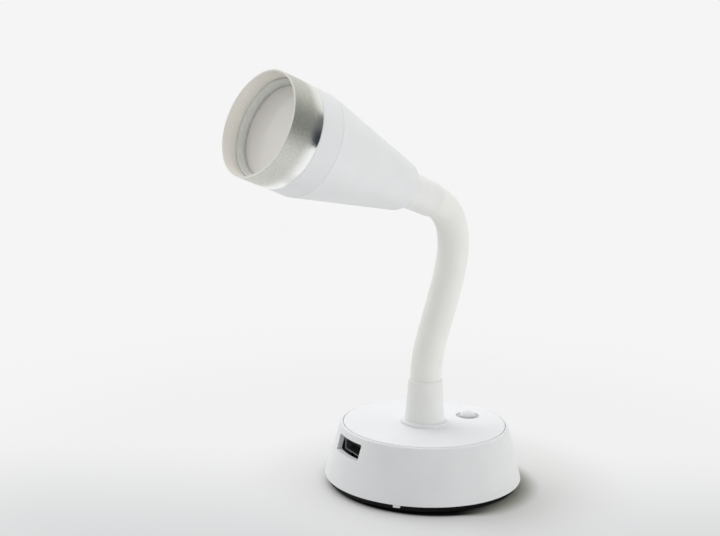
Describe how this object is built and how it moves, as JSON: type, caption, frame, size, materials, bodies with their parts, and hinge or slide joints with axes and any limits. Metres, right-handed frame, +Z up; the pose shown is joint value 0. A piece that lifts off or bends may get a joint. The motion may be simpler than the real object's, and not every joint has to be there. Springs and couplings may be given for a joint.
{
  "type": "gooseneck desk lamp",
  "caption": "Small desk lamp with a round base, a USB socket, a push button, a flexible neck and a cone head with a metal rim.",
  "frame": {"origin": "on the base's axis, at the level that the foot pad rests on", "axes": "+Z up along the base's axis; the neck bends in the YZ plane, with the head pointing towards -Y; the base is turned 9 degrees clockwise seen from above, so its socket faces between -Y and -X"},
  "size_m": [0.076, 0.1237, 0.1604],
  "materials": {
    "white_abs": "white moulded ABS with a fine satin grain",
    "white_abs_gloss": "white moulded ABS, polished mould",
    "black_abs": "black moulded ABS, finely textured",
    "pad_rubber": "black non-slip rubber",
    "ballast_steel": "zinc-plated steel plate",
    "cell_foil": "crimped aluminium foil pouch",
    "foam": "closed-cell foam tape",
    "board_green": "green solder mask on glass-fibre board",
    "screw_steel": "zinc-plated steel",
    "socket_steel": "tin-plated steel sheet",
    "socket_plastic": "black moulded nylon",
    "contact_gold": "gold-plated contact",
    "switch_plastic": "black moulded plastic",
    "plunger_plastic": "red-brown moulded plastic",
    "button_silicone": "milky translucent plastic",
    "ferrule_abs": "off-white moulded ABS",
    "sleeve_silicone": "off-white silicone sleeve",
    "conduit_steel": "wound steel conduit",
    "wire_pvc": "red and black PVC-covered wire",
    "ring_aluminium": "blasted and anodised aluminium",
    "retainer_abs": "pale grey moulded ABS",
    "diffuser_pmma": "milky acrylic",
    "reflector_white": "white moulded plastic",
    "led_board_white": "white solder mask",
    "led_phosphor": "yellow phosphor in clear resin",
    "spreader_aluminium": "pressed aluminium"
  },
  "bodies": {
    "base": {"foot_pad": "pad_rubber", "bottom_cover": "black_abs", "ballast_plate": "ballast_steel", "battery_pad": "foam", "battery_cell": "cell_foil", "base_shell": "white_abs", "bottom_screws": "screw_steel", "top_plate": "white_abs_gloss", "main_board": "board_green", "board_screws": "screw_steel", "usb_shell": "socket_steel", "usb_tongue": "socket_plastic", "usb_contacts": "contact_gold", "switch_body": "switch_plastic", "lower_washer": "screw_steel", "lower_nut": "screw_steel", "lower_ferrule": "ferrule_abs", "neck_sleeve_0": "sleeve_silicone", "neck_core_0": "conduit_steel", "neck_wires_0": "wire_pvc"},
    "button": {"button_cap": "button_silicone", "switch_plunger": "plunger_plastic"},
    "link_1": {"neck_sleeve_1": "sleeve_silicone", "neck_core_1": "conduit_steel", "neck_wires_1": "wire_pvc"},
    "link_2": {"neck_sleeve_2": "sleeve_silicone", "neck_core_2": "conduit_steel", "neck_wires_2": "wire_pvc"},
    "link_3": {"neck_sleeve_3": "sleeve_silicone", "neck_core_3": "conduit_steel", "neck_wires_3": "wire_pvc"},
    "link_4": {"neck_sleeve_4": "sleeve_silicone", "neck_core_4": "conduit_steel", "neck_wires_4": "wire_pvc"},
    "link_5": {"neck_sleeve_5": "sleeve_silicone", "neck_core_5": "conduit_steel", "neck_wires_5": "wire_pvc"},
    "link_6": {"neck_sleeve_6": "sleeve_silicone", "neck_core_6": "conduit_steel", "neck_wires_6": "wire_pvc"},
    "head": {"neck_sleeve_7": "sleeve_silicone", "neck_core_7": "conduit_steel", "neck_wires_7": "wire_pvc", "upper_ferrule": "ferrule_abs", "upper_washer": "screw_steel", "upper_nut": "screw_steel", "head_shell": "white_abs", "front_band": "white_abs", "rim_ring": "ring_aluminium", "lens_retainer": "retainer_abs", "diffuser": "diffuser_pmma", "reflector": "reflector_white", "led_board": "led_board_white", "led_chips": "led_phosphor", "led_screws": "screw_steel", "heat_spreader": "spreader_aluminium"}
  },
  "joints": [
    {"name": "knuckle_1", "type": "hinge", "parent": "base", "child": "link_1", "pos_m": [0, 0.00028, 0.04657], "axis": [1, 0, 0], "range_deg": [-6, 12]},
    {"name": "knuckle_2", "type": "hinge", "parent": "link_1", "child": "link_2", "pos_m": [0, 0.00248, 0.05707], "axis": [0, 0.9532, -0.3024], "range_deg": [-20, 20]},
    {"name": "knuckle_3", "type": "hinge", "parent": "link_2", "child": "link_3", "pos_m": [0, 0.00586, 0.06727], "axis": [1, 0, 0], "range_deg": [-10, 12]},
    {"name": "knuckle_4", "type": "hinge", "parent": "link_3", "child": "link_4", "pos_m": [0, 0.00915, 0.07751], "axis": [1, 0, 0], "range_deg": [-14, 12]},
    {"name": "knuckle_5", "type": "hinge", "parent": "link_4", "child": "link_5", "pos_m": [0, 0.01146, 0.088], "axis": [0, 0.9893, -0.1461], "range_deg": [-20, 20]},
    {"name": "knuckle_6", "type": "hinge", "parent": "link_5", "child": "link_6", "pos_m": [0, 0.01098, 0.09867], "axis": [1, 0, 0], "range_deg": [-28, 14]},
    {"name": "knuckle_7", "type": "hinge", "parent": "link_6", "child": "head", "pos_m": [0, 0.00541, 0.10765], "axis": [1, 0, 0], "range_deg": [-34, 10]},
    {"name": "button_push", "type": "slide", "parent": "base", "child": "button", "axis": [0, 0, -1], "range_m": [0, 0.001], "stiffness_N_per_m": 300, "springref_m": -0.0006}
  ]
}
